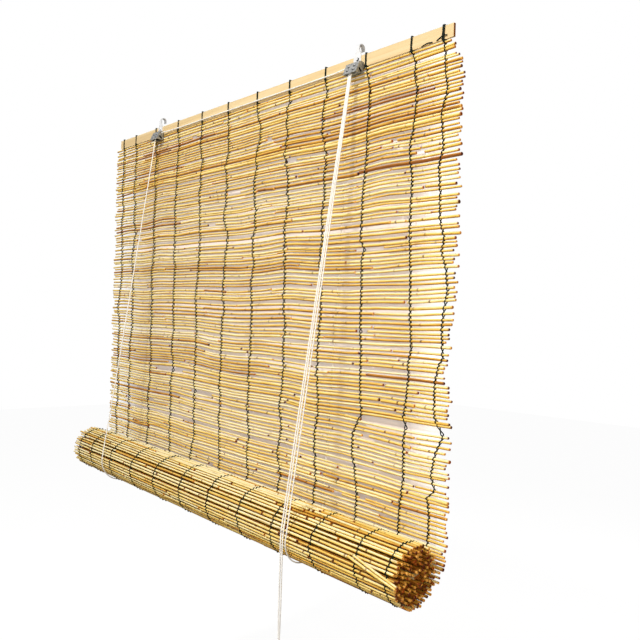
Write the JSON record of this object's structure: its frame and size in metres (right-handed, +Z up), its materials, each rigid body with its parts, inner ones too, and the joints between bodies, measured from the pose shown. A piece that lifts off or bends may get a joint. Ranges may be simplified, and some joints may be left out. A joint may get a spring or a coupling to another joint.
{
  "type": "reed roll-up blind",
  "caption": "Roll-up window blind of natural reeds tied with green thread, half raised, with a head slat, two hook hangers, a cord lock and white lift cords",
  "frame": {"origin": "midway between the axes of the two hooks' bends, on which the blind hangs", "axes": "X along the head slat, -Y faces the room, Z up"},
  "size_m": [0.9414, 0.1071, 0.883],
  "materials": {
    "slat": "pale planed bamboo, satin",
    "reed": "natural dried reed, straw to golden, glossy rind",
    "thread": "dark green twisted thread",
    "strap": "bright zinc-plated steel",
    "housing": "grey stamped steel",
    "wheel": "off-white moulded plastic",
    "cord": "white braided cord"
  },
  "bodies": {
    "head": {"head_slat": "slat", "slat_bindings": "thread", "reed_mat": "reed", "warp_threads": "thread", "hanger_right": "strap", "hanger_left": "strap", "back_plate_right": "strap", "back_plate_left": "strap", "rivet_right": "strap", "rivet_left": "strap", "lock_housing": "housing", "lock_wheel_pin": "housing", "pulley_housing": "housing", "pulley_wheel_pin": "housing", "knot_right": "cord", "knot_left": "cord", "back_strand_right": "cord", "back_strand_left": "cord", "front_strand_right": "cord", "front_strand_left": "cord", "cross_cord": "cord", "pull_cord_right": "cord", "pull_cord_left": "cord"},
    "lift_cords": {"lift_loop_right": "cord", "lift_loop_left": "cord", "pull_tail_right": "cord", "pull_tail_left": "cord", "cord_coil": "cord", "coil_tie": "cord", "end_knots": "cord"},
    "roll": {"mat_roll": "reed", "roll_threads": "thread", "bottom_slat": "slat"},
    "locker": {"locking_roller": "housing"},
    "lock_guide": {"lock_wheel": "wheel"},
    "pulley_guide": {"pulley_wheel": "wheel"}
  },
  "joints": [
    {"name": "roll_lift", "type": "slide", "parent": "head", "child": "lift_cords", "axis": [0, 0, 1], "range_m": [0, 0.55], "deforming": ["reed_mat", "warp_threads", "back_strand_right", "back_strand_left", "front_strand_right", "front_strand_left", "pull_cord_right", "pull_cord_left"]},
    {"name": "roll_turn", "type": "hinge", "parent": "lift_cords", "child": "roll", "pos_m": [0, -0.04295, -0.67264], "axis": [0.9995, 0, -0.0323], "range_deg": [-800, 0]},
    {"name": "locker_slide", "type": "slide", "parent": "head", "child": "locker", "axis": [0, -0.7071, 0.7071], "range_m": [0, 0.004]},
    {"name": "lock_wheel_spin", "type": "hinge", "parent": "head", "child": "lock_guide", "pos_m": [0.279, -0.0097, -0.0298], "axis": [1, 0, 0], "continuous": true},
    {"name": "pulley_wheel_spin", "type": "hinge", "parent": "head", "child": "pulley_guide", "pos_m": [-0.279, -0.0097, -0.0298], "axis": [1, 0, 0], "continuous": true}
  ],
  "couplings": [
    {"joint": "roll_turn", "follows": "roll_lift", "rad_per_m": -24.876}
  ]
}
